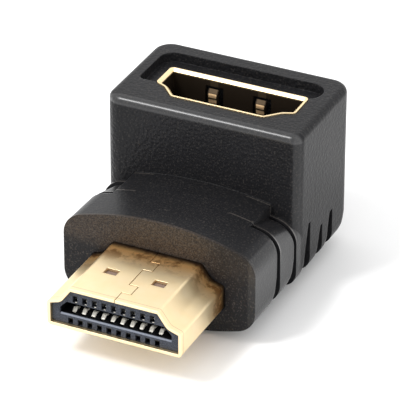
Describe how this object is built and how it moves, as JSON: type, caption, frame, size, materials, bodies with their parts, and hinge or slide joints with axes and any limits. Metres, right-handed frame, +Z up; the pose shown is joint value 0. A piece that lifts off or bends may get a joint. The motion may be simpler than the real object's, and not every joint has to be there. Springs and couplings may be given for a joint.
{
  "type": "right angle plug and socket adapter",
  "caption": "Right angle adapter: flat D-shaped plug at the front, matching socket facing up on an upright block, and a ribbed moulded housing round both.",
  "frame": {"origin": "middle of the footprint, level with the lowest point of the housing", "axes": "+X across the contacts, +Y from the plug's mouth to the back of the block, +Z up, out of the socket"},
  "size_m": [0.0208, 0.032, 0.0177],
  "materials": {
    "housing_plastic": "black, finely textured, soft touch",
    "inner_plastic": "natural, unpainted",
    "board": "green solder mask",
    "plated_shell": "polished pale gold plating",
    "insulator": "dark blue-grey, satin",
    "contact": "gold flash"
  },
  "bodies": {
    "root": {"circuit_board": "board", "housing": "housing_plastic", "inner_mould": "inner_plastic", "plug_insulator": "insulator", "plug_lower_contact_01": "contact", "plug_lower_contact_02": "contact", "plug_lower_contact_03": "contact", "plug_lower_contact_04": "contact", "plug_lower_contact_05": "contact", "plug_lower_contact_06": "contact", "plug_lower_contact_07": "contact", "plug_lower_contact_08": "contact", "plug_lower_contact_09": "contact", "plug_lower_contact_10": "contact", "plug_shell": "plated_shell", "plug_upper_contact_01": "contact", "plug_upper_contact_02": "contact", "plug_upper_contact_03": "contact", "plug_upper_contact_04": "contact", "plug_upper_contact_05": "contact", "plug_upper_contact_06": "contact", "plug_upper_contact_07": "contact", "plug_upper_contact_08": "contact", "plug_upper_contact_09": "contact", "socket_front_contact_01": "contact", "socket_front_contact_02": "contact", "socket_front_contact_03": "contact", "socket_front_contact_04": "contact", "socket_front_contact_05": "contact", "socket_front_contact_06": "contact", "socket_front_contact_07": "contact", "socket_front_contact_08": "contact", "socket_front_contact_09": "contact", "socket_insulator": "insulator", "socket_rear_contact_01": "contact", "socket_rear_contact_02": "contact", "socket_rear_contact_03": "contact", "socket_rear_contact_04": "contact", "socket_rear_contact_05": "contact", "socket_rear_contact_06": "contact", "socket_rear_contact_07": "contact", "socket_rear_contact_08": "contact", "socket_rear_contact_09": "contact", "socket_rear_contact_10": "contact", "socket_shell": "plated_shell"}
  },
  "joints": []
}
